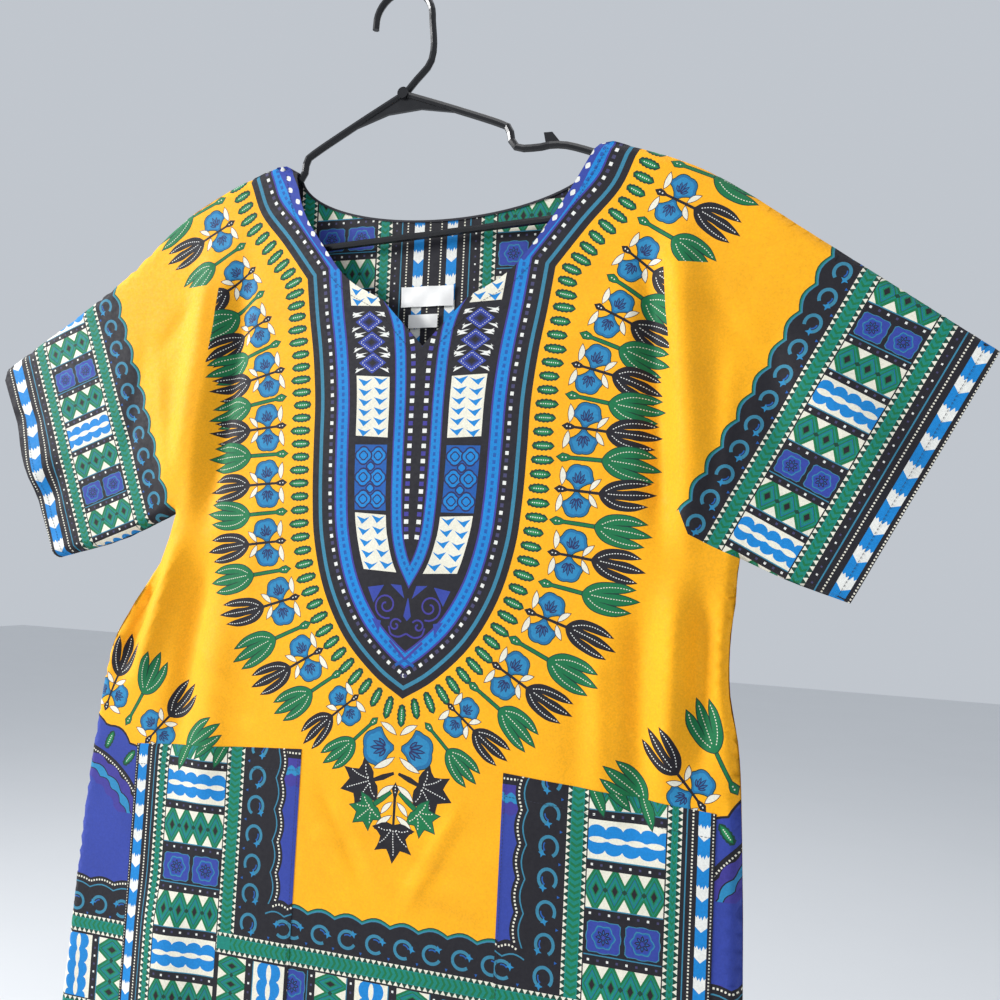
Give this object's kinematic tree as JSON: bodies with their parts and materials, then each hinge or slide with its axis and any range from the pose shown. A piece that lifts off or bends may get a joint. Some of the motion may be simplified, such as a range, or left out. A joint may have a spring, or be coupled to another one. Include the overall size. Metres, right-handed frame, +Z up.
{
  "type": "dashiki shirt on hanger",
  "caption": "Loose cotton dashiki shirt with cut-on short sleeves, slit neckline and patch pockets, hung flat on a moulded plastic hanger.",
  "frame": {"origin": "inside top of the hanger's hook, where a rail or peg carries it", "axes": "+Z up, the front of the shirt faces -Y, +X to the right of a viewer who faces the front"},
  "size_m": [0.9096, 0.045, 0.9625],
  "materials": {
    "printed_cotton": "plain-weave cotton wax print on a golden yellow ground, matt with a faint sheen",
    "white_satin": "bare white satin label tape",
    "black_plastic": "glossy black moulded plastic"
  },
  "bodies": {
    "root": {"front": "printed_cotton", "back": "printed_cotton", "pocket_left": "printed_cotton", "pocket_right": "printed_cotton", "neck_label": "white_satin", "care_label": "white_satin", "hanger": "black_plastic"}
  },
  "joints": []
}
